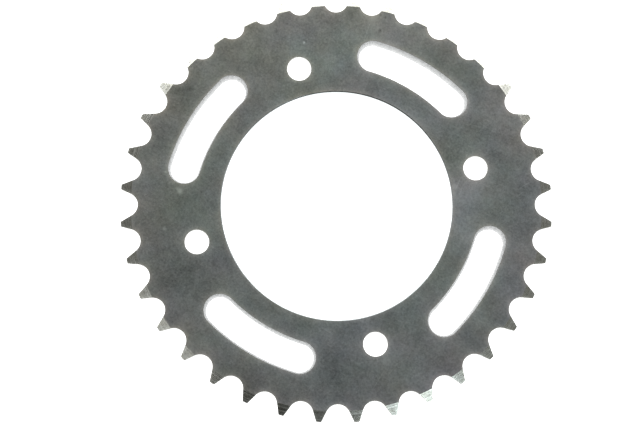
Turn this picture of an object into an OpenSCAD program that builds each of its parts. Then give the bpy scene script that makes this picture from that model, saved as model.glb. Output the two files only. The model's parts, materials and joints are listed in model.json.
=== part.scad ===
// Rear chain sprocket, a flat steel plate for a 520 roller chain.
// It lies flat: the axis is +Z, the back face is at z = 0 and the outer face is on top.
// The +X and +Y axes run midway between two bolt holes, through the slots.

/* [Chain] */
// Chain pitch, from one roller's centre to the next
chain_pitch = 15.875; // [15.5:0.025:16.5]
// Diameter of the chain's rollers
roller_d = 10.16; // [9.8:0.02:10.3]
// Number of teeth
tooth_count = 36; // [36:8:52]

/* [Teeth] */
// Radius of the round seat that a roller rests in
seat_r = 5.25; // [5.15:0.01:5.35]
// Angle between a tooth's flank and the middle line of the gap beside it
flank_angle = 27; // [24:0.5:30]
// Height of the tooth tips above the pitch circle
tip_height = 2.68; // [2.2:0.02:2.9]
// Height of the bevel on a tooth's side, measured along the radius
bevel_h = 4.85; // [4:0.05:5.5]
// Depth of the bevel at the tooth tips, on each face
bevel_depth = 2; // [1.2:0.1:2.4]

/* [Plate] */
// Thickness of the plate
plate_t = 6; // [5.5:0.1:7]
// Diameter of the centre bore, which sits on the hub
bore_d = 100; // [96:0.5:104]
// Width of the edge break on both edges of the bore
bore_edge = 0.4; // [0.2:0.1:0.6]

/* [Bolt circle] */
// Diameter of the circle that the bolt holes lie on
bolt_circle_d = 125; // [123:0.5:127]
// Diameter of the bolt holes
bolt_hole_d = 10.5; // [8.5:0.1:11]

/* [Slots] */
// Distance from the sprocket's centre to the middle of a slot
slot_mid_r = 67.5; // [66:0.25:69]
// Radius that a slot's middle line is bent to
slot_bend_r = 80.8; // [75:0.2:90]
// Half of the angle between the centres of a slot's round ends, about the bend's centre
slot_half_angle = 14.2; // [10:0.1:15]
// Width of a slot at the outer face, where it is widest
slot_w = 14; // [12:0.1:15]
// How much each slot wall leans in, from the outer face to the back face
slot_lean = 1; // [0.3:0.1:1.4]
// Turn of the four slots away from midway between the bolt holes
slot_turn = -0.8; // [-2:0.1:2]

/* [Hidden] */
$fn = 96;

quarters = 4;
first_bolt_angle = 45;
tooth_pitch_angle = 360 / tooth_count;
pitch_r = chain_pitch / (2 * sin(180 / tooth_count));
root_r = pitch_r - roller_d / 2;
tip_r = pitch_r + tip_height;
seat_centre_r = root_r + seat_r;
slot_bend_offset = slot_mid_r - slot_bend_r;
slot_bottom_w = slot_w - 2 * slot_lean;
overshoot = 1;

// The turned blank: a ring with its bore, both bore edges broken and both rims bevelled.
module blank() {
    bore_r = bore_d / 2;
    bevel_r = tip_r - bevel_h;
    rotate_extrude($fn = 360)
        polygon([
            [bore_r, bore_edge],
            [bore_r + bore_edge, 0],
            [bevel_r, 0],
            [tip_r, bevel_depth],
            [tip_r, plate_t - bevel_depth],
            [bevel_r, plate_t],
            [bore_r + bore_edge, plate_t],
            [bore_r, plate_t - bore_edge]
        ]);
}

// The space between two teeth: a round roller seat that opens outward along straight flanks.
module tooth_gap() {
    seat_x = seat_r * sin(flank_angle);
    seat_y = seat_r * cos(flank_angle);
    reach = tip_r + overshoot - seat_centre_r;
    mouth_y = seat_y + (reach + seat_x) * tan(flank_angle);
    translate([seat_centre_r, 0, -overshoot])
        linear_extrude(plate_t + 2 * overshoot)
            union() {
                circle(r = seat_r);
                polygon([
                    [-seat_x, -seat_y],
                    [reach, -mouth_y],
                    [reach, mouth_y],
                    [-seat_x, seat_y]
                ]);
            }
}

// One slot, seen as the plug that fills it: a bent bar with round ends and leaning walls.
module slot_plug() {
    slope = slot_lean / plate_t;
    top_half = slot_w / 2 + slope * overshoot;
    bottom_half = slot_bottom_w / 2 - slope * overshoot;
    z_low = -overshoot;
    z_high = plate_t + overshoot;
    translate([slot_bend_offset, 0, 0]) {
        rotate([0, 0, -slot_half_angle])
            rotate_extrude(angle = 2 * slot_half_angle, $fn = 360)
                polygon([
                    [slot_bend_r - bottom_half, z_low],
                    [slot_bend_r + bottom_half, z_low],
                    [slot_bend_r + top_half, z_high],
                    [slot_bend_r - top_half, z_high]
                ]);
        for (side = [-1, 1])
            rotate([0, 0, side * slot_half_angle])
                translate([slot_bend_r, 0, z_low])
                    cylinder(h = z_high - z_low, r1 = bottom_half, r2 = top_half);
    }
}

// The whole sprocket plate, cut from the blank. Each bolt hole is in line with a tooth.
module sprocket_plate() {
    color([0.42, 0.43, 0.42])
        difference() {
            blank();
            for (i = [0 : tooth_count - 1])
                rotate([0, 0, first_bolt_angle + (i + 0.5) * tooth_pitch_angle])
                    tooth_gap();
            for (i = [0 : quarters - 1])
                rotate([0, 0, first_bolt_angle + i * 90])
                    translate([bolt_circle_d / 2, 0, -overshoot])
                        cylinder(h = plate_t + 2 * overshoot, d = bolt_hole_d);
            for (i = [0 : quarters - 1])
                rotate([0, 0, slot_turn + i * 90])
                    slot_plug();
        }
}

sprocket_plate();
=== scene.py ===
"""Looks for the rear sprocket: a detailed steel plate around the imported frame, in metres."""

import json
import math
import random

import bpy
from mathutils import Matrix, Vector, noise
from mathutils.geometry import delaunay_2d_cdt


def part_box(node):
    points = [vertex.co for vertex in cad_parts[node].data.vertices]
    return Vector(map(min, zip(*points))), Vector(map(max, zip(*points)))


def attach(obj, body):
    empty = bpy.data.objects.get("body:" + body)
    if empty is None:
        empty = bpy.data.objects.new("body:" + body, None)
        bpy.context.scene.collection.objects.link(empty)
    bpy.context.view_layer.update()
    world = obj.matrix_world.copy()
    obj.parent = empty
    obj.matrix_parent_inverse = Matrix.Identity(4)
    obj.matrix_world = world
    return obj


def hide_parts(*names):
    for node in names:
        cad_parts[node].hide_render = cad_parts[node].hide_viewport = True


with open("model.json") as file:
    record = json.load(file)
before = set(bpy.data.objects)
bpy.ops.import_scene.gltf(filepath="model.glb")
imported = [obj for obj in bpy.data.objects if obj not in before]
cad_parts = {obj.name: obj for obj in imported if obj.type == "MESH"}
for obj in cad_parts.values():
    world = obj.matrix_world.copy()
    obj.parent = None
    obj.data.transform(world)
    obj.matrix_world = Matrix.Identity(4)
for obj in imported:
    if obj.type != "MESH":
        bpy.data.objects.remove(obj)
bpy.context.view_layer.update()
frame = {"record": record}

MM = 0.001
NODE = "sprocket_plate"
TINY = 1e-9

# ---------------------------------------------------------------- sizes

mounts = {m["name"]: m["dims"] for m in frame["record"]["mounts"]}
plate_low, plate_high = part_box(NODE)

THICKNESS = plate_high.z - plate_low.z
BORE_R = mounts["bore"]["r_mm"] * MM
BOLT_CIRCLE_R = mounts["bolts"]["pcd_mm"] / 2 * MM
BOLT_COUNT = mounts["bolts"]["count"]
BOLT_HOLE_R = mounts["bolts"]["hole_r_mm"] * MM
FIRST_BOLT_ANGLE = math.radians(45)

CHAIN_PITCH = 15.875 * MM
ROLLER_D = 10.16 * MM
TOOTH_COUNT = 36
TOOTH_ANGLE = 2 * math.pi / TOOTH_COUNT
PITCH_R = CHAIN_PITCH / (2 * math.sin(TOOTH_ANGLE / 2))
ROOT_R = PITCH_R - ROLLER_D / 2
TIP_R = PITCH_R + 2.68 * MM
SEAT_R = 5.25 * MM
SEAT_CENTRE_R = ROOT_R + SEAT_R
FLANK_ANGLE = math.radians(27)
TIP_CORNER_R = 0.45 * MM
TOOTH_EDGE = 0.2 * MM

BEVEL_HEIGHT = 4.85 * MM
BEVEL_DEPTH = 2 * MM
BEVEL_BASE_R = TIP_R - BEVEL_HEIGHT
BEVEL_SLOPE = BEVEL_DEPTH / BEVEL_HEIGHT
BEVEL_BREAK = 0.07 * MM

SLOT_COUNT = 4
SLOT_MID_R = 67.5 * MM
SLOT_BEND_R = 80.8 * MM
SLOT_HALF_ANGLE = math.radians(14.2)
SLOT_HALF_W = 7 * MM
SLOT_LEAN = 1 * MM
SLOT_TURN = math.radians(-0.8)

# A slot's wall is sheared up to this share of the thickness, and torn above it.
SHEAR_TOP = 0.3
LEAN_CURVE = 1.6
SLOT_EDGE = 0.12 * MM
# The torn part's upright streaks, which change more slowly with height, and its chips.
STREAK_SIZE = 0.9 * MM
STREAK_DEPTH = 0.03 * MM
STREAK_HEIGHT_SHARE = 0.35
CHIP_SIZE = 2.6 * MM
CHIP_DEPTH = 0.04 * MM

BORE_EDGE = 0.4 * MM
BORE_EDGE_SOFTENING = 0.03 * MM
HOLE_EDGE = 0.15 * MM

TURNING_PITCH = 0.56 * MM
TURNING_DEPTH = 0.015 * MM
TURNING_DEPTH_SPREAD = (0.45, 1.3)

# How finely the curves are drawn.
EDGE_STEPS = 3
SAMPLES_PER_GROOVE = 4
SEAT_STEPS = 14
CORNER_STEPS = 3
TIP_STEPS = 2
TORN_STEPS = 8
BORE_POINTS = 720
HOLE_POINTS = 120
SLOT_STEP = 0.55 * MM

# ---------------------------------------------------------------- mesh


class Mesh:
    """Vertices with a normal each, and faces with a finish each."""

    def __init__(self):
        self.points = []
        self.normals = []
        self.faces = []
        self.finishes = []

    def add(self, point, normal):
        self.points.append(point)
        self.normals.append(Vector(normal).normalized())
        return len(self.points) - 1

    def face(self, corners, finish):
        """Adds a face, turned the way that its corners' normals point."""
        a, b, c = (Vector(self.points[v]) for v in corners[:3])
        across = (b - a).cross(c - a)
        if len(corners) == 4:
            across += (c - a).cross(Vector(self.points[corners[3]]) - a)
        outward = sum((self.normals[v] for v in corners), Vector())
        self.faces.append(corners if across.dot(outward) > 0 else corners[::-1])
        self.finishes.append(finish)

    def strip(self, row_a, row_b, finish, closed=False):
        """Quads between two rows of vertices of the same length."""
        count = len(row_a)
        for i in range(count if closed else count - 1):
            j = (i + 1) % count
            corners = []
            for v in (row_a[i], row_a[j], row_b[j], row_b[i]):
                if v not in corners:
                    corners.append(v)
            if len(corners) > 2:
                self.face(corners, finish)


def turned(point, angle):
    """A flat point or direction turned about the sprocket's axis."""
    c, s = math.cos(angle), math.sin(angle)
    return (point[0] * c - point[1] * s, point[0] * s + point[1] * c)


groove_random = random.Random(36)
GROOVE_DEPTHS = [
    TURNING_DEPTH * groove_random.uniform(*TURNING_DEPTH_SPREAD)
    for _ in range(int(BEVEL_HEIGHT / TURNING_PITCH) + 2)
]


def bevel_height(radius):
    """Height of the turned outer face above the back face, and its slope, at a radius."""
    start = BEVEL_BASE_R + BEVEL_BREAK
    if radius <= BEVEL_BASE_R - BEVEL_BREAK + TINY:
        return THICKNESS, 0.0
    if radius < start:
        share = (radius - BEVEL_BASE_R + BEVEL_BREAK) / (2 * BEVEL_BREAK)
        drop = BEVEL_SLOPE * BEVEL_BREAK
        return THICKNESS - drop * share, -BEVEL_SLOPE * share
    cone = THICKNESS - (radius - BEVEL_BASE_R) * BEVEL_SLOPE
    # each groove is a parabola, deepest in its middle
    along = (radius - start) / TURNING_PITCH
    groove = min(int(along), len(GROOVE_DEPTHS) - 1)
    phase = along - int(along) - 0.5
    depth = GROOVE_DEPTHS[groove]
    cut = depth * (4 * phase * phase - 1)
    cut_slope = depth * 8 * phase / TURNING_PITCH
    return cone + cut, -BEVEL_SLOPE + cut_slope


def rim_heights(radius):
    """Heights of the outer and back faces at a radius, and the outer one's slope."""
    high, slope = bevel_height(radius)
    return plate_low.z + high, plate_low.z + THICKNESS - high, slope


def surface_normal(x, y, slope, up):
    """Normal of the outer face (up 1) or of the back face (up -1), which mirrors it."""
    radius = math.hypot(x, y)
    return Vector((-slope * x / radius, -slope * y / radius, up)).normalized()


# A wall is described from the outer face down to the back face by rows. A row says how far up it
# is as a share of the thickness, how far below that it drops, how far it stands back from the
# spine into the steel, and its tilt: 90 looks straight up, 0 sideways and -90 straight down.


def rounded_edge(size, share, inset=0.0):
    """Rows of a small rounding at the outer face (share 1) or the back face (share 0)."""
    sign = 1 if share else -1
    rows = []
    for i in range(EDGE_STEPS + 1):
        tilt = math.pi / 2 * (1 - i / EDGE_STEPS)
        drop = size * (1 - math.sin(tilt))
        back = inset + size * (1 - math.cos(tilt))
        rows.append((share, sign * drop, back, sign * math.degrees(tilt)))
    return rows if share else rows[::-1]


def plain_wall(edge, finish):
    """Rows and finishes of a straight wall with a small rounding at each face."""
    rows = rounded_edge(edge, 1) + [(0.5, 0.0, 0.0, 0.0)] + rounded_edge(edge, 0)
    rounding = ["edge"] * EDGE_STEPS
    return rows, rounding + [finish, finish] + rounding


def add_rows(mesh, spine, rows, bite=None):
    """Adds one vertex per spine point and row. A spine point is (x, y, outward x, outward y).

    bite(x, y, share) says how far the wall is eaten back there."""
    made = []
    for share, drop, inset, tilt in rows:
        line = []
        for x, y, nx, ny in spine:
            back = inset + (bite(x, y, share) if bite else 0.0)
            px, py = x - nx * back, y - ny * back
            high, low, slope = rim_heights(math.hypot(px, py))
            z = low + (high - low) * share - drop
            flat = surface_normal(px, py, slope, 1 if tilt >= 0 else -1)
            turn = math.radians(abs(tilt))
            normal = Vector((nx, ny, 0)) * math.cos(turn) + flat * math.sin(turn)
            line.append(mesh.add((px, py, z), normal))
        made.append(line)
    return made


def add_wall(mesh, spine, rows, finishes, bite=None):
    """Adds a wall with one finish between each two rows, and returns its first and last row."""
    made = add_rows(mesh, spine, rows, bite)
    for i, finish in enumerate(finishes):
        mesh.strip(made[i], made[i + 1], finish, closed=True)
    return made[0], made[-1]


# ---------------------------------------------------------------- teeth


def seat_and_flank(radius, inset):
    """Point and outward normal of one tooth side at a radius, in the gap's own frame."""
    seat = SEAT_R + inset
    cosine = (SEAT_CENTRE_R ** 2 + seat ** 2 - radius ** 2) / (2 * SEAT_CENTRE_R * seat)
    turn = math.acos(max(-1.0, min(1.0, cosine)))
    limit = math.pi / 2 - FLANK_ANGLE
    if turn <= limit:
        nx, ny = math.cos(turn), math.sin(turn)
        return SEAT_CENTRE_R - seat * nx, -seat * ny, nx, ny
    nx, ny = math.sin(FLANK_ANGLE), math.cos(FLANK_ANGLE)
    dx, dy = math.cos(FLANK_ANGLE), -math.sin(FLANK_ANGLE)
    sx, sy = SEAT_CENTRE_R - seat * nx, -seat * ny
    along = sx * dx + sy * dy
    reach = -along + math.sqrt(along ** 2 - sx ** 2 - sy ** 2 + radius ** 2)
    return sx + dx * reach, sy + dy * reach, nx, ny


def tooth_side():
    """Spine of half a tooth, from the middle of its tip down to the bottom of the next gap.

    Returns the points in the tooth's frame, the index where the flank starts below the tip's
    corner, and the index of the bevel's base."""
    centre_x, centre_y, _, _ = seat_and_flank(TIP_R - TIP_CORNER_R, TIP_CORNER_R)
    corner = math.atan2(centre_y, centre_x)
    corner_r = TIP_CORNER_R - TOOTH_EDGE
    flank_turn = math.pi / 2 - FLANK_ANGLE
    tip = TIP_R - TOOTH_EDGE
    points = []
    # the tip, from the tooth's middle to the corner, in the gap's frame
    for i in range(TIP_STEPS):
        angle = -TOOTH_ANGLE / 2 + (corner + TOOTH_ANGLE / 2) * i / TIP_STEPS
        nx, ny = math.cos(angle), math.sin(angle)
        points.append((tip * nx, tip * ny, nx, ny))
    # the corner
    for i in range(CORNER_STEPS + 1):
        angle = corner + (flank_turn - corner) * i / CORNER_STEPS
        nx, ny = math.cos(angle), math.sin(angle)
        points.append((centre_x + corner_r * nx, centre_y + corner_r * ny, nx, ny))
    flank_index = len(points) - 1
    # the flank, in step with the bevel's grooves, but not close under the corner
    flank_top = math.hypot(*points[-1][:2])
    first = BEVEL_BASE_R + BEVEL_BREAK
    step = TURNING_PITCH / SAMPLES_PER_GROOVE
    for i in range(int((flank_top - first) / step), -1, -1):
        if first + i * step < flank_top - step / 3:
            points.append(seat_and_flank(first + i * step, TOOTH_EDGE))
    points.append(seat_and_flank(BEVEL_BASE_R - BEVEL_BREAK, TOOTH_EDGE))
    base_index = len(points) - 1
    # the rest of the round seat
    _, _, nx, ny = points[-1]
    start = math.atan2(ny, nx)
    seat = SEAT_R + TOOTH_EDGE
    for i in range(1, SEAT_STEPS + 1):
        angle = start * (1 - i / SEAT_STEPS)
        nx, ny = math.cos(angle), math.sin(angle)
        points.append((SEAT_CENTRE_R - seat * nx, -seat * ny, nx, ny))
    turned_points = [
        (*turned((x, y), TOOTH_ANGLE / 2), *turned((nx, ny), TOOTH_ANGLE / 2))
        for x, y, nx, ny in points
    ]
    return turned_points, flank_index, base_index


def bevel_row(mesh, left, right, count, up):
    """A row of vertices on one circle across a tooth's bevel, from its one side to the other."""
    left_x, left_y, _ = mesh.points[left]
    right_x, right_y, _ = mesh.points[right]
    radius = math.hypot(left_x, left_y)
    start = math.atan2(left_y, left_x)
    width = (math.atan2(right_y, right_x) - start) % (2 * math.pi)
    high, low, slope = rim_heights(radius)
    z = high if up > 0 else low
    row = [left]
    for i in range(1, count):
        angle = start + width * i / count
        x, y = radius * math.cos(angle), radius * math.sin(angle)
        row.append(mesh.add((x, y, z), surface_normal(x, y, slope, up)))
    return row + [right]


def build_teeth(mesh):
    """Adds every tooth and gap, and returns the two outlines that the flat faces end at."""
    side, flank_index, base_index = tooth_side()
    last = len(side) - 1
    mirrored = [(x, -y, nx, -ny) for x, y, nx, ny in side]
    outline = mirrored[last:0:-1] + side[:-1]
    spine = []
    for k in range(TOOTH_COUNT):
        angle = FIRST_BOLT_ANGLE + k * TOOTH_ANGLE
        spine += [(*turned((x, y), angle), *turned((nx, ny), angle)) for x, y, nx, ny in outline]
    rows, finishes = plain_wall(TOOTH_EDGE, "flank")
    rows = [(share, drop, inset - TOOTH_EDGE, tilt) for share, drop, inset, tilt in rows]
    outer_line, back_line = add_wall(mesh, spine, rows, finishes)
    rims = []
    for line, up in ((outer_line, 1), (back_line, -1)):
        rim = []
        for k in range(TOOTH_COUNT):
            tip = k * len(outline) + last
            # the line from the middle of this tooth's tip; negative indices run back from there
            around = line[tip:] + line[:tip]
            above = around[-flank_index:] + around[:flank_index + 1]
            for j in range(flank_index, base_index + 1):
                row = bevel_row(mesh, around[-j], around[j], 2 * flank_index, up)
                mesh.strip(above, row, "bevel")
                above = row
            rim += above + around[base_index + 1:2 * last - base_index]
        rims.append(rim)
    return rims


# ---------------------------------------------------------------- openings


def arc_spine(centre, radius, start, sweep, count, facing=-1):
    """An arc of an opening's outline, without its last point.

    The normals point into the opening: to the arc's centre, or away from it with facing 1."""
    spine = []
    for i in range(count):
        angle = start + sweep * i / count
        c, s = math.cos(angle), math.sin(angle)
        spine.append((centre[0] + radius * c, centre[1] + radius * s, facing * c, facing * s))
    return spine


def circle_spine(centre, radius, count):
    """A round opening's outline."""
    return arc_spine(centre, radius, 0, 2 * math.pi, count)


def slot_spine(angle):
    """A bent slot's outline at the back face, where it is narrowest: side, end, side, end."""
    half_w = SLOT_HALF_W - SLOT_LEAN
    bend_x = SLOT_MID_R - SLOT_BEND_R
    end_x = bend_x + SLOT_BEND_R * math.cos(SLOT_HALF_ANGLE)
    end_y = SLOT_BEND_R * math.sin(SLOT_HALF_ANGLE)
    reach = 2 * SLOT_HALF_ANGLE
    outer, inner = SLOT_BEND_R + half_w, SLOT_BEND_R - half_w
    sides = int(reach * SLOT_BEND_R / SLOT_STEP)
    ends = int(math.pi * half_w / SLOT_STEP)
    spine = arc_spine((bend_x, 0), outer, -SLOT_HALF_ANGLE, reach, sides)
    spine += arc_spine((end_x, end_y), half_w, SLOT_HALF_ANGLE, math.pi, ends)
    spine += arc_spine((bend_x, 0), inner, SLOT_HALF_ANGLE, -reach, sides, facing=1)
    spine += arc_spine((end_x, -end_y), half_w, math.pi - SLOT_HALF_ANGLE, math.pi, ends)
    return [(*turned(p[:2], angle), *turned(p[2:], angle)) for p in spine]


def bore_wall():
    """Rows and finishes of a turned bore with a flat edge break at each face."""
    soft = BORE_EDGE_SOFTENING
    upper = [
        (1, 0.0, BORE_EDGE + soft, 90),
        (1, soft, BORE_EDGE - soft, 45),
        (1, BORE_EDGE - soft, soft, 45),
        (1, BORE_EDGE + soft, 0.0, 0),
    ]
    lower = [(1 - share, -drop, inset, -tilt) for share, drop, inset, tilt in upper[::-1]]
    rows = upper + [(0.5, 0.0, 0.0, 0)] + lower
    return rows, ["bore"] * (len(rows) - 1)


def slot_wall():
    """Rows and finishes of a punched wall, torn and leaning, then sheared straight to the back."""
    torn_height = THICKNESS * (1 - SHEAR_TOP)
    torn = []
    for i in range(1, TORN_STEPS):
        part = 1 - i / TORN_STEPS
        slope = LEAN_CURVE * SLOT_LEAN * part ** (LEAN_CURVE - 1) / torn_height
        share = SHEAR_TOP + (1 - SHEAR_TOP) * part
        torn.append((share, 0.0, SLOT_LEAN * part ** LEAN_CURVE, math.degrees(math.atan(slope))))
    sheared = [(SHEAR_TOP, 0.0, 0.0, 0.0), (SHEAR_TOP / 2, 0.0, 0.0, 0.0)]
    rows = rounded_edge(SLOT_EDGE, 1, inset=SLOT_LEAN) + torn + sheared + rounded_edge(SLOT_EDGE, 0)
    finishes = ["torn"] * (EDGE_STEPS + TORN_STEPS) + ["sheared"] * 2 + ["edge"] * EDGE_STEPS
    return rows, finishes


def torn_bite(x, y, share):
    """How far the torn part of a punched wall is eaten back, in ragged upright streaks and chips."""
    if not SHEAR_TOP < share < 1:
        return 0.0
    height = share * THICKNESS
    streak = noise.noise(Vector((x, y, STREAK_HEIGHT_SHARE * height)) / STREAK_SIZE)
    chip = noise.noise(Vector((x, y, height)) / CHIP_SIZE)
    return STREAK_DEPTH * streak + CHIP_DEPTH * chip


def bolt_centres():
    """Where the bolt holes are."""
    sector = 2 * math.pi / BOLT_COUNT
    return [turned((BOLT_CIRCLE_R, 0), FIRST_BOLT_ANGLE + k * sector) for k in range(BOLT_COUNT)]


# ---------------------------------------------------------------- flat faces


def inner_points():
    """Points spread over the flat face, clear of its openings, so that its triangles are even."""
    spacing, clear = 4 * MM, 2 * MM
    holes = bolt_centres()
    spread = []
    radius = BORE_R + spacing
    while radius < ROOT_R - clear:
        count = int(2 * math.pi * radius / spacing)
        for i in range(count):
            x, y = turned((radius, 0), 2 * math.pi * i / count)
            in_hole = any(math.dist((x, y), hole) < BOLT_HOLE_R + clear for hole in holes)
            if not in_hole and slot_distance(x, y) > clear:
                spread.append((x, y))
        radius += spacing
    return spread


def slot_distance(x, y):
    """How far a point lies outside the nearest slot, or under 0 inside one."""
    quarter = 2 * math.pi / SLOT_COUNT
    k = round((math.atan2(y, x) - SLOT_TURN) / quarter)
    x, y = turned((x, y), -SLOT_TURN - k * quarter)
    x -= SLOT_MID_R - SLOT_BEND_R
    angle = max(-SLOT_HALF_ANGLE, min(SLOT_HALF_ANGLE, math.atan2(y, x)))
    nearest = (SLOT_BEND_R * math.cos(angle), SLOT_BEND_R * math.sin(angle))
    return math.dist((x, y), nearest) - SLOT_HALF_W


def fill_face(mesh, rim, openings, up):
    """Fills the flat face between the teeth and the openings."""
    points, numbers, areas = [], [], []
    for loop in [rim] + openings:
        areas.append(list(range(len(points), len(points) + len(loop))))
        points += [Vector(mesh.points[v][:2]) for v in loop]
        numbers += loop
    z = mesh.points[rim[0]][2]
    for x, y in inner_points():
        points.append(Vector((x, y)))
        numbers.append(mesh.add((x, y, z), (0, 0, up)))
    inside_only = 1
    filled = delaunay_2d_cdt(points, [], areas, inside_only, TINY)
    _, _, triangles, places, _, areas_of = filled
    for triangle, inside in zip(triangles, areas_of):
        if inside == [0]:
            mesh.face([numbers[places[i][0]] for i in triangle], "face")


def build_sprocket():
    """The whole plate: its teeth, its openings and its two flat faces."""
    mesh = Mesh()
    outer_rim, back_rim = build_teeth(mesh)
    walls = [add_wall(mesh, circle_spine((0, 0), BORE_R, BORE_POINTS), *bore_wall())]
    for centre in bolt_centres():
        spine = circle_spine(centre, BOLT_HOLE_R, HOLE_POINTS)
        walls.append(add_wall(mesh, spine, *plain_wall(HOLE_EDGE, "hole")))
    for k in range(SLOT_COUNT):
        spine = slot_spine(SLOT_TURN + k * 2 * math.pi / SLOT_COUNT)
        walls.append(add_wall(mesh, spine, *slot_wall(), torn_bite))
    fill_face(mesh, outer_rim, [outer for outer, _ in walls], 1)
    fill_face(mesh, back_rim, [back for _, back in walls], -1)
    return mesh


# ---------------------------------------------------------------- materials


class Nodes:
    """A node tree, with short ways to add what the finishes and the studio need."""

    def __init__(self, tree):
        self.tree = tree

    def link(self, source, target):
        self.tree.links.new(source, target)

    def feed(self, socket, value):
        """Gives a socket a colour, a number or another node's output."""
        if isinstance(value, tuple):
            socket.default_value = (*value, 1.0)
        elif isinstance(value, (int, float)):
            socket.default_value = value
        else:
            self.link(value, socket)

    def ramp(self, source, low, high, to_low=0.0, to_high=1.0):
        """source taken from low..high to to_low..to_high, and held at the ends."""
        node = self.tree.nodes.new("ShaderNodeMapRange")
        node.interpolation_type = "SMOOTHSTEP"
        self.link(source, node.inputs["Value"])
        for name, value in (("From Min", low), ("From Max", high), ("To Min", to_low), ("To Max", to_high)):
            node.inputs[name].default_value = value
        return node.outputs["Result"]

    def math(self, kind, a, b=0.0):
        node = self.tree.nodes.new("ShaderNodeMath")
        node.operation = kind
        self.feed(node.inputs[0], a)
        self.feed(node.inputs[1], b)
        return node.outputs["Value"]

    def total(self, first, *others):
        """The sum of numbers and outputs."""
        result = first
        for other in others:
            result = self.math("ADD", result, other)
        return result

    def level(self, source, gain):
        """source taken around its middle of 0.5, times gain."""
        return self.math("MULTIPLY", self.math("SUBTRACT", source, 0.5), gain)

    def length(self, x, y):
        """The length of a flat vector."""
        squares = self.total(self.math("MULTIPLY", x, x), self.math("MULTIPLY", y, y))
        return self.math("SQRT", squares)

    def joined(self, kind, values):
        """Three numbers or outputs as one vector or colour."""
        node = self.tree.nodes.new(kind)
        for socket, value in zip(node.inputs, values):
            self.feed(socket, value)
        return node.outputs[0]

    def split(self, vector):
        """A vector's x, y and z."""
        node = self.tree.nodes.new("ShaderNodeSeparateXYZ")
        self.link(vector, node.inputs["Vector"])
        return node.outputs

    def toward(self, vector, direction):
        """How far a vector reaches along a direction, times the direction's length."""
        node = self.tree.nodes.new("ShaderNodeVectorMath")
        node.operation = "DOT_PRODUCT"
        self.link(vector, node.inputs[0])
        node.inputs[1].default_value = direction
        return node.outputs["Value"]


class Finish(Nodes):
    """A new steel material, whose marks are placed in the plate's own frame."""

    def __init__(self, name):
        self.material = bpy.data.materials.new(name)
        self.material.use_nodes = True
        super().__init__(self.material.node_tree)
        self.place = self.tree.nodes.new("ShaderNodeTexCoord").outputs["Object"]

    def noise(self, size, detail=3.0, rough=0.5, place=None, stretch=(1, 1, 1), turn=0.0, offset=0.0):
        """Noise with features about size metres across, from 0 to 1."""
        mapping = self.tree.nodes.new("ShaderNodeMapping")
        mapping.inputs["Rotation"].default_value = (0, 0, turn)
        mapping.inputs["Location"].default_value = (offset, offset, offset)
        mapping.inputs["Scale"].default_value = stretch
        self.link(place or self.place, mapping.inputs["Vector"])
        node = self.tree.nodes.new("ShaderNodeTexNoise")
        node.inputs["Scale"].default_value = 1 / size
        node.inputs["Detail"].default_value = detail
        node.inputs["Roughness"].default_value = rough
        self.link(mapping.outputs["Vector"], node.inputs["Vector"])
        return node.outputs["Fac"]

    def color(self, red, green, blue):
        return self.joined("ShaderNodeCombineColor", (red, green, blue))

    def grey(self, value):
        return self.color(value, value, value)

    def polar(self):
        """Distance from the sprocket's axis, and angle about it."""
        x, y, _ = self.split(self.place)
        return self.length(x, y), self.math("ARCTAN2", y, x)

    def shifted(self, source, distance):
        """The place, moved up to half of distance to and fro as source goes from 0 to 1."""
        node = self.tree.nodes.new("ShaderNodeVectorMath")
        node.operation = "ADD"
        self.link(self.place, node.inputs[0])
        self.link(self.level(source, distance), node.inputs[1])
        return node.outputs["Vector"]

    def mix(self, share, a, b, blend="MIX"):
        """Colour a mixed with colour b."""
        node = self.tree.nodes.new("ShaderNodeMix")
        node.data_type = "RGBA"
        node.blend_type = blend
        for place, value in ((0, share), (6, a), (7, b)):
            self.feed(node.inputs[place], value)
        return node.outputs[2]

    def bump(self, height, depth):
        """A bump of depth metres for a height from 0 to 1."""
        node = self.tree.nodes.new("ShaderNodeBump")
        node.inputs["Strength"].default_value = 1.0
        node.inputs["Distance"].default_value = depth
        self.link(height, node.inputs["Height"])
        return node.outputs["Normal"]

    def steel(self, color, roughness, normal):
        """The finished material."""
        shader = self.tree.nodes["Principled BSDF"]
        shader.inputs["Metallic"].default_value = 1.0
        self.link(color, shader.inputs["Base Color"])
        self.link(roughness, shader.inputs["Roughness"])
        self.link(normal, shader.inputs["Normal"])
        return self.material


HAIRLINE_W = 0.22 * MM
HAIRLINE_STRETCH = (0.03, 1, 1)


def hairlines(finish, turn, offset, keep):
    """Fine straight hairlines in one direction: thin stretched noise, kept only at its peaks."""
    lines = finish.noise(HAIRLINE_W, 1.0, 0.4, stretch=HAIRLINE_STRETCH, turn=turn, offset=offset)
    where = finish.noise(12 * MM, 2.0, 0.5, offset=offset + 3)
    kept = finish.ramp(lines, keep, keep + 0.05)
    return finish.math("MULTIPLY", kept, finish.ramp(where, 0.5, 0.62))


FACE_COLOR = (0.386, 0.415, 0.402)
CLOUD_CONTRAST = 1.25
GRAIN_CONTRAST = 1.2

# How much more red towards the teeth, and where that begins and is full.
RIM_WARMTH = 0.04
RIM_WARMTH_FROM = 72 * MM
RIM_WARMTH_TO = 84 * MM
# The change in blue over each metre, and its direction, from the greenish side to the bluish one.
COOL_SIDE = (*turned((0.5, 0), math.radians(-20)), 0)
# Contrast of the larger patches in red and in blue.
RED_PATCHES = 0.35
BLUE_PATCHES = 0.4

# The faces are painted paler at their edges, and a little warmer, as a painted glare halo: the gain, its
# reach, and the change in red and in blue.
EDGE_GLARE_GAIN = 0.72
EDGE_GLARE_REACH = 1.1 * MM
EDGE_GLARE_RED = 0.09
EDGE_GLARE_BLUE = -0.05
# The bevel's base is a blunt edge, so the painted glare halo reaches from it as if it were this much
# further out.
BLUNT_EDGE = 1 * MM

SPECK_COLOR = (0.8, 0.8, 0.78)
SPECK_SHARE = 0.3
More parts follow.
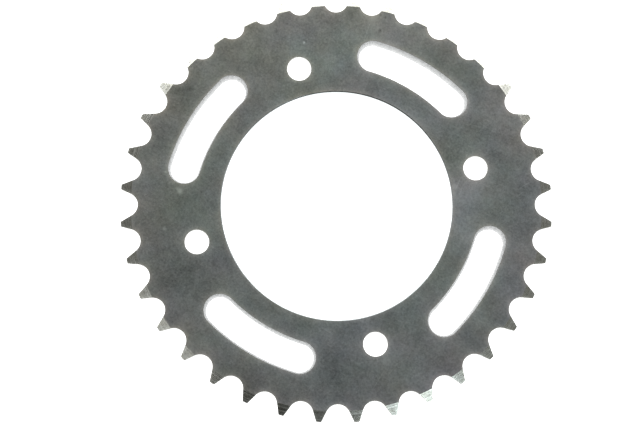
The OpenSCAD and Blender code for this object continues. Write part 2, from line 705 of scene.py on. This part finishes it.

# How far noise moves the outlines of the patches of painted light and shade, from the most one way to the
# most the other way.
PAINTED_LIGHT_DRIFT = 8 * MM

# Patches of painted light and shade on the outer face: angle from +X, radius and reach in mm, and how much
# lighter or darker the steel looks there.
PAINTED_LIGHT_PATCHES = [
    (38, 56, 15, 0.42),
    (20, 57, 12, 0.36),
    (18, 80, 9, 0.16),
    (8, 66, 26, 0.14),
    (30, 66, 10, 0.12),
    (60, 82, 12, 0.14),
    (108, 83, 12, 0.28),
    (121, 63, 11, 0.24),
    (140, 67, 8, -0.14),
    (172, 81, 14, -0.2),
    (200, 83, 10, 0.2),
    (220, 56, 8, 0.14),
    (220, 86, 7, 0.12),
    (232, 74, 15, -0.27),
    (275, 86, 17, -0.2),
    (286, 83, 12, -0.14),
    (300, 80, 17, -0.17),
    (320, 66, 13, 0.18),
    (340, 56, 9, 0.16),
    (350, 80, 9, 0.2),
]

# Small marks on the outer face, given in the same way.
MARKS = [
    (205, 68.1, 1.9, 0.75),
    (204, 69.2, 1.3, 0.5),
    (218, 75, 1.3, 0.6),
    (199, 75.5, 0.9, 0.5),
    (131, 73.5, 0.9, 1.0),
    (107, 87, 1.1, -0.6),
    (106, 80, 1.3, -0.55),
    (105.4, 86.4, 0.9, -0.5),
    (39, 52, 1.8, 0.5),
]

# Long faint scratches on the outer face: the middle's angle from +X and radius in mm, the
# direction in degrees from +X, the half length in mm, and how much lighter the steel looks.
SCRATCHES = [
    (313, 77.5, 88, 7, 0.3),
    (317, 76, 80, 5, 0.22),
    (322, 73, 62, 6, 0.2),
    (309, 69, 40, 5, 0.2),
    (36, 82, 61, 4, 0.3),
    (33, 79, 68, 3.5, 0.25),
    (28, 72, 75, 6, 0.2),
    (40, 53.5, 95, 4, 0.35),
    (37, 54.5, 100, 3, 0.3),
    (110, 78, 100, 6, 0.25),
    (60, 70, 20, 5, 0.2),
    (198, 72, 105, 5, 0.2),
    (222, 83, 130, 4, 0.2),
]
SCRATCH_HALF_W = 0.22 * MM


def spots(finish, place, table):
    """The sum of a table's soft round spots."""
    made = []
    for angle, radius, reach, strength in table:
        centre = turned((radius * MM, 0), math.radians(angle))
        away = finish.tree.nodes.new("ShaderNodeVectorMath")
        away.operation = "DISTANCE"
        finish.link(place, away.inputs[0])
        away.inputs[1].default_value = (*centre, THICKNESS)
        made.append(finish.ramp(away.outputs["Value"], 0.0, reach * MM, strength, 0.0))
    return finish.total(*made)


def scratched(finish, table):
    """The sum of a table's straight scratches, each fading to its ends."""
    made = []
    for angle, radius, heading, half_length, strength in table:
        middle = turned((radius * MM, 0), math.radians(angle))
        mapping = finish.tree.nodes.new("ShaderNodeMapping")
        mapping.vector_type = "TEXTURE"
        mapping.inputs["Location"].default_value = (*middle, THICKNESS)
        mapping.inputs["Rotation"].default_value = (0, 0, math.radians(heading))
        finish.link(finish.place, mapping.inputs["Vector"])
        x, y, _ = finish.split(mapping.outputs["Vector"])
        line = finish.ramp(finish.math("ABSOLUTE", y), 0.0, SCRATCH_HALF_W, strength, 0.0)
        reach = half_length * MM
        fade = finish.ramp(finish.math("ABSOLUTE", x), 0.4 * reach, reach, 1.0, 0.0)
        made.append(finish.math("MULTIPLY", line, fade))
    return finish.total(*made)


def folded(finish, radius, angle, count, first, centre_x):
    """The place seen from the nearest of count equal openings, the first one at angle first.

    x runs outward from centre_x, and y along the turn."""
    sector = 2 * math.pi / count
    from_first = finish.math("SUBTRACT", angle, first)
    nearest = finish.math("ROUND", finish.math("DIVIDE", from_first, sector))
    turn = finish.math("SUBTRACT", from_first, finish.math("MULTIPLY", nearest, sector))
    x = finish.math("MULTIPLY", radius, finish.math("COSINE", turn))
    y = finish.math("MULTIPLY", radius, finish.math("SINE", turn))
    return finish.math("SUBTRACT", x, centre_x), y


def from_bolt_holes(finish, radius, angle):
    """Distance from the nearest bolt hole."""
    x, y = folded(finish, radius, angle, BOLT_COUNT, FIRST_BOLT_ANGLE, BOLT_CIRCLE_R)
    return finish.math("SUBTRACT", finish.length(x, y), BOLT_HOLE_R)


def from_slots(finish, radius, angle):
    """Distance from the nearest slot."""
    x, y = folded(finish, radius, angle, SLOT_COUNT, SLOT_TURN, SLOT_MID_R - SLOT_BEND_R)
    bend = finish.math("MAXIMUM", finish.math("ARCTAN2", y, x), -SLOT_HALF_ANGLE)
    bend = finish.math("MINIMUM", bend, SLOT_HALF_ANGLE)
    near_x = finish.math("MULTIPLY", finish.math("COSINE", bend), SLOT_BEND_R)
    near_y = finish.math("MULTIPLY", finish.math("SINE", bend), SLOT_BEND_R)
    across = finish.length(finish.math("SUBTRACT", x, near_x), finish.math("SUBTRACT", y, near_y))
    return finish.math("SUBTRACT", across, SLOT_HALF_W)


def from_gaps(finish, radius, angle):
    """Distance from the nearest tooth gap: its round seat, or the flanks outside the seat."""
    first = FIRST_BOLT_ANGLE + TOOTH_ANGLE / 2
    x, y = folded(finish, radius, angle, TOOTH_COUNT, first, SEAT_CENTRE_R)
    y = finish.math("ABSOLUTE", y)
    from_seat = finish.math("SUBTRACT", finish.length(x, y), SEAT_R)
    along = finish.math("MULTIPLY", x, math.sin(FLANK_ANGLE))
    across = finish.math("MULTIPLY", y, math.cos(FLANK_ANGLE))
    from_flank = finish.math("SUBTRACT", finish.math("SUBTRACT", across, along), SEAT_R)
    inside = finish.math("SUBTRACT", -SEAT_R * math.sin(FLANK_ANGLE), x)
    return finish.math("MINIMUM", from_seat, finish.math("MAXIMUM", from_flank, inside))


def edge_falloff(finish, distances, reach):
    """From 1 at the nearest of some edges to 0 away from it."""
    nearest = distances[0]
    for distance in distances[1:]:
        nearest = finish.math("MINIMUM", nearest, distance)
    return finish.math("EXPONENT", finish.math("DIVIDE", finish.math("MAXIMUM", nearest, 0.0), -reach))


def face_edges(finish, radius, angle):
    """Distances from everything that cuts into the flat face."""
    return [
        finish.math("SUBTRACT", radius, BORE_R),
        finish.math("SUBTRACT", BEVEL_BASE_R + BLUNT_EDGE, radius),
        from_bolt_holes(finish, radius, angle),
        from_gaps(finish, radius, angle),
        from_slots(finish, radius, angle),
    ]


def face_light(finish, cloud, edge_glare_and_wear):
    """How light the face looks from place to place, around 1, with patches of painted light and shade and a
    painted glare halo at the edges.
    """
    grain = finish.noise(0.9 * MM, 3.0, 0.8, offset=9)
    drifted = finish.shifted(finish.noise(12 * MM, 3.0, 0.6, offset=3), PAINTED_LIGHT_DRIFT)
    return finish.total(
        # patches of painted light and shade on the outer face
        spots(finish, drifted, PAINTED_LIGHT_PATCHES),
        spots(finish, finish.place, MARKS),
        scratched(finish, SCRATCHES),
        finish.level(cloud, CLOUD_CONTRAST),
        finish.level(grain, GRAIN_CONTRAST),
        1.0,
        # painted glare halo, paler at the edges
        finish.math("MULTIPLY", edge_glare_and_wear, EDGE_GLARE_GAIN),
    )


def face_tint(finish, radius, edge_glare_and_wear):
    """The face's change of colour from place to place, around white."""
    red = finish.total(
        1.0,
        finish.level(finish.noise(26 * MM, 5.0, 0.65, offset=17), RED_PATCHES),
        # painted glare halo, a little warmer at the edges
        finish.math("MULTIPLY", edge_glare_and_wear, EDGE_GLARE_RED),
        finish.ramp(radius, RIM_WARMTH_FROM, RIM_WARMTH_TO, 0.0, RIM_WARMTH),
    )
    blue = finish.total(
        1.0,
        finish.level(finish.noise(30 * MM, 5.0, 0.65, offset=11), BLUE_PATCHES),
        finish.toward(finish.place, COOL_SIDE),
        finish.math("MULTIPLY", edge_glare_and_wear, EDGE_GLARE_BLUE),
    )
    return finish.color(red, 1.0, blue)


def face_steel():
    """The flat faces: fine matt steel with clouds, specks and hairlines, patches of painted light and
    shade, and a painted glare halo that makes them paler at the edges.
    """
    finish = Finish("plate_face_steel")
    radius, angle = finish.polar()
    cloud = finish.noise(16 * MM, 6.0, 0.95, offset=5)
    fine = finish.noise(0.35 * MM, 2.0, 0.6, offset=2)
    # how near the edges are, for the painted glare halo
    edge_glare_and_wear = edge_falloff(finish, face_edges(finish, radius, angle), EDGE_GLARE_REACH)
    light = finish.grey(face_light(finish, cloud, edge_glare_and_wear))
    color = finish.mix(1.0, light, face_tint(finish, radius, edge_glare_and_wear), "MULTIPLY")
    color = finish.mix(1.0, color, FACE_COLOR, "MULTIPLY")
    lines = finish.math("MAXIMUM", hairlines(finish, 0.5, 1, 0.66), hairlines(finish, -0.9, 4, 0.67))
    specks = finish.ramp(finish.noise(1.2 * MM, 1.0, 0.5, offset=14), 0.74, 0.82)
    pale = finish.math("MULTIPLY", finish.math("MAXIMUM", specks, lines), SPECK_SHARE)
    color = finish.mix(pale, color, SPECK_COLOR)
    rough = finish.ramp(cloud, 0.3, 0.7, 0.39, 0.45)
    return finish.steel(color, rough, finish.bump(fine, 0.02 * MM))


BEVEL_COLOR = (0.64, 0.65, 0.61)
BEVEL_STAIN = (0.55, 0.55, 0.49)
# Pits painted darker, as the shade and scattered reflection in them.
BEVEL_PIT_SHADE = (0.25, 0.245, 0.21)
BEVEL_WEAR_GAIN = 0.7
BEVEL_WEAR_REACH = 0.5 * MM


def rings(finish, radius, angle, width, detail, stray):
    """Noise in rings about the axis, which change by stray metres of noise over each radian."""
    along = finish.math("MULTIPLY", angle, stray)
    place = finish.joined("ShaderNodeCombineXYZ", (radius, along, 0.0))
    return finish.noise(width, detail, 0.5, place=place)


def turned_steel():
    """The bevels: bright turned steel with fine rings, stains, and pits painted darker as shade, worn paler
    at the edges.
    """
    finish = Finish("tooth_bevel_steel")
    radius, angle = finish.polar()
    fine = rings(finish, radius, angle, 0.12 * MM, 1.0, 0.4 * MM)
    wide = rings(finish, radius, angle, 0.6 * MM, 2.0, 2 * MM)
    stain = finish.noise(4 * MM, 3.0, 0.6)
    # where the pits are painted darker as shade
    shaded_pits = finish.ramp(finish.noise(0.9 * MM, 3.0, 0.7, offset=6), 0.45, 0.68, 0.0, 0.55)
    color = finish.mix(finish.ramp(stain, 0.35, 0.7), BEVEL_COLOR, BEVEL_STAIN)
    color = finish.mix(shaded_pits, color, BEVEL_PIT_SHADE)
    edges = [from_gaps(finish, radius, angle), finish.math("SUBTRACT", TIP_R, radius)]
    edge_glare_and_wear = finish.math("MULTIPLY", edge_falloff(finish, edges, BEVEL_WEAR_REACH), BEVEL_WEAR_GAIN)
    color = finish.mix(1.0, color, finish.grey(finish.total(1.0, edge_glare_and_wear)), "MULTIPLY")
    rough = finish.total(finish.ramp(wide, 0.3, 0.7, 0.2, 0.32), finish.math("MULTIPLY", stain, 0.06))
    return finish.steel(color, rough, finish.bump(fine, 0.012 * MM))


TORN_COLOR = (0.47, 0.475, 0.475)
# Painted shade: the torn wall is painted darker next to the outer face.
TORN_TOP_SHADE_COLOR = (0.36, 0.365, 0.365)


def torn_steel():
    """The torn part of a punched wall: rough, with painted shade that makes it darker next to the outer
    face.
    """
    finish = Finish("slot_torn_steel")
    _, _, z = finish.split(finish.place)
    streaks = finish.noise(0.8 * MM, 3.0, 0.6, stretch=(1, 1, 0.2))
    height = finish.total(z, finish.level(streaks, 1.5 * MM))
    # painted shade, darker towards the outer face
    shade = finish.ramp(height, THICKNESS * SHEAR_TOP, THICKNESS)
    color = finish.mix(shade, TORN_COLOR, TORN_TOP_SHADE_COLOR)
    rough = finish.ramp(streaks, 0.3, 0.7, 0.4, 0.55)
    return finish.steel(color, rough, finish.bump(streaks, 0.1 * MM))


UPRIGHT = (1, 1, 0.06)
ROUND = (0.02, 0.02, 1)
MATT = (0.25, 0.4)
GLOSSY = (0.08, 0.14)


def cut_steel(name, marks_size, marks_stretch, marks_depth, color, roughness):
    """A cut wall, with upright marks or marks running round it."""
    finish = Finish(name)
    marks = finish.noise(marks_size, 2.0, 0.6, stretch=marks_stretch)
    stain = finish.ramp(finish.noise(3 * MM, 3.0, 0.6), 0.3, 0.7)
    stained = finish.mix(stain, color, tuple(0.85 * c for c in color))
    rough = finish.ramp(marks, 0.3, 0.7, *roughness)
    return finish.steel(stained, rough, finish.bump(marks, marks_depth))


def flank_steel():
    return cut_steel("tooth_flank_steel", 0.3 * MM, UPRIGHT, 0.02 * MM, (0.6, 0.6, 0.58), MATT)


def sheared_steel():
    return cut_steel("slot_sheared_steel", 0.4 * MM, UPRIGHT, 0.02 * MM, (0.46, 0.46, 0.465), MATT)


def bore_steel():
    return cut_steel("bore_turned_steel", 0.15 * MM, ROUND, 0.005 * MM, (0.5, 0.53, 0.53), GLOSSY)


def hole_steel():
    return cut_steel("bolt_hole_steel", 0.2 * MM, ROUND, 0.01 * MM, (0.6, 0.6, 0.58), MATT)


def edge_steel():
    return cut_steel("worn_edge_steel", 0.5 * MM, UPRIGHT, 0.01 * MM, (0.58, 0.58, 0.56), MATT)


FINISHES = {
    "face": face_steel,
    "bevel": turned_steel,
    "flank": flank_steel,
    "torn": torn_steel,
    "sheared": sheared_steel,
    "bore": bore_steel,
    "hole": hole_steel,
    "edge": edge_steel,
}


def sprocket_object():
    """The plate as one object with all its finishes."""
    built = build_sprocket()
    data = bpy.data.meshes.new("rear_sprocket_plate")
    data.from_pydata(built.points, [], built.faces)
    names = list(FINISHES)
    for name in names:
        data.materials.append(FINISHES[name]())
    for polygon, finish in zip(data.polygons, built.finishes):
        polygon.material_index = names.index(finish)
    data.polygons.foreach_set("use_smooth", [True] * len(data.polygons))
    data.validate(clean_customdata=False)
    data.normals_split_custom_set_from_vertices(built.normals)
    data.update()
    plate = bpy.data.objects.new("rear_sprocket_plate", data)
    bpy.context.scene.collection.objects.link(plate)
    return plate


plate = sprocket_object()
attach(plate, "root")
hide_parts(NODE)

# ---------------------------------------------------------------- studio

# The picture's upright turned against the frame's Y axis.
PICTURE_TURN = math.radians(29.78)
picture = Matrix.Rotation(PICTURE_TURN, 4, "Z")
face_centre = Vector((0, 0, plate_high.z))

CAMERA_LENS_MM = 101.97
CAMERA_PLACE = Vector((-26.8, -129.9, 772.6)) * MM
CAMERA_PITCH = math.radians(9.279)
CAMERA_SLANT = math.radians(-1.445)

FLOOR_GAP = 0.2 * MM
FLOOR_GLOW = 1.6

# Broad parts of the studio that are darker or lighter than the rest, such as the camera's stand:
# azimuth and elevation, the angles from the middle where the change begins and is full, and how
# many times the light is there.
STUDIO_PARTS = [
    (253, 46, 22, 12, 0.18),
    (240, 8, 42, 22, 0.5),
    (356, 45, 30, 10, 1.4),
]

# The studio's colour by height, which goes from 0 at the horizon to 1 overhead.
HORIZON = (0.03, (1, 1, 1))
WALLS = (0.2, (0.15, 0.15, 0.145))
HIGHER = [(0.75, (0.145, 0.145, 0.137)), (0.93, (0.2, 0.205, 0.2))]


def make_floor():
    """A pale floor that glows, so that it burns out to white as the photo's ground does."""
    bpy.ops.mesh.primitive_plane_add(size=12, location=(0, 0, plate_low.z - FLOOR_GAP))
    floor = bpy.context.object
    floor.name = "floor"
    material = bpy.data.materials.new("pale_floor")
    material.use_nodes = True
    shader = material.node_tree.nodes["Principled BSDF"]
    shader.inputs["Base Color"].default_value = (0.9, 0.9, 0.9, 1)
    shader.inputs["Roughness"].default_value = 0.8
    shader.inputs["Emission Color"].default_value = (1, 1, 1, 1)
    shader.inputs["Emission Strength"].default_value = FLOOR_GLOW
    floor.data.materials.append(material)


def picture_direction(azimuth, elevation):
    """A direction by its azimuth, counterclockwise from the picture's right, and its elevation."""
    a, e = math.radians(azimuth), math.radians(elevation)
    away = Vector((math.cos(a) * math.cos(e), math.sin(a) * math.cos(e), math.sin(e)))
    return picture.to_3x3() @ away


def softbox(name, azimuth, elevation, distance, width, height, radiance, color=(1, 1, 1)):
    """A soft light aimed at the plate, as bright as radiance wherever it is seen."""
    light = bpy.data.lights.new(name, "AREA")
    light.shape = "RECTANGLE"
    light.size, light.size_y = width, height
    light.energy = radiance * math.pi * width * height
    light.color = color
    lamp = bpy.data.objects.new(name, light)
    away = picture_direction(azimuth, elevation)
    lamp.location = face_centre + away * distance
    lamp.rotation_mode = "QUATERNION"
    lamp.rotation_quaternion = away.to_track_quat("Z", "Y")
    bpy.context.scene.collection.objects.link(lamp)


def make_world():
    """A dim studio, pale at the horizon, with its darker and lighter parts."""
    world = bpy.data.worlds.new("studio")
    bpy.context.scene.world = world
    world.use_nodes = True
    nodes = Nodes(world.node_tree)
    toward = nodes.tree.nodes.new("ShaderNodeTexCoord").outputs["Generated"]
    _, _, height = nodes.split(toward)
    ramp = nodes.tree.nodes.new("ShaderNodeValToRGB")
    nodes.link(height, ramp.inputs["Fac"])
    stops = ramp.color_ramp.elements
    for stop, (position, color) in zip(stops, (HORIZON, WALLS)):
        stop.position = position
        stop.color = (*color, 1)
    for position, color in HIGHER:
        stops.new(position).color = (*color, 1)
    strength = 1.0
    for azimuth, elevation, outer, inner, times in STUDIO_PARTS:
        near = nodes.toward(toward, picture_direction(azimuth, elevation))
        begins, full = math.cos(math.radians(outer)), math.cos(math.radians(inner))
        strength = nodes.math("MULTIPLY", strength, nodes.ramp(near, begins, full, 1.0, times))
    background = nodes.tree.nodes["Background"]
    nodes.link(ramp.outputs["Color"], background.inputs["Color"])
    nodes.link(strength, background.inputs["Strength"])


def make_camera():
    """The photo's camera, a little below and left of the plate's middle."""
    data = bpy.data.cameras.new("camera")
    data.sensor_width = 36
    data.lens = CAMERA_LENS_MM
    camera = bpy.data.objects.new("camera", data)
    camera.location = picture @ (face_centre + CAMERA_PLACE)
    camera.rotation_euler = (CAMERA_PITCH, CAMERA_SLANT, PICTURE_TURN)
    bpy.context.scene.collection.objects.link(camera)
    bpy.context.scene.camera = camera


make_floor()
softbox("top_softbox", 88, 33, distance=1.2, width=2.1, height=0.6, radiance=2.7)
softbox("lower_left_light", 209, 45, distance=1.1, width=0.42, height=0.5, radiance=0.72)
softbox("lower_right_light", 301, 46, distance=1.1, width=0.25, height=0.5, radiance=3.2,
        color=(0.86, 0.96, 1))
make_world()
make_camera()

bpy.context.scene.view_settings.view_transform = "Standard"
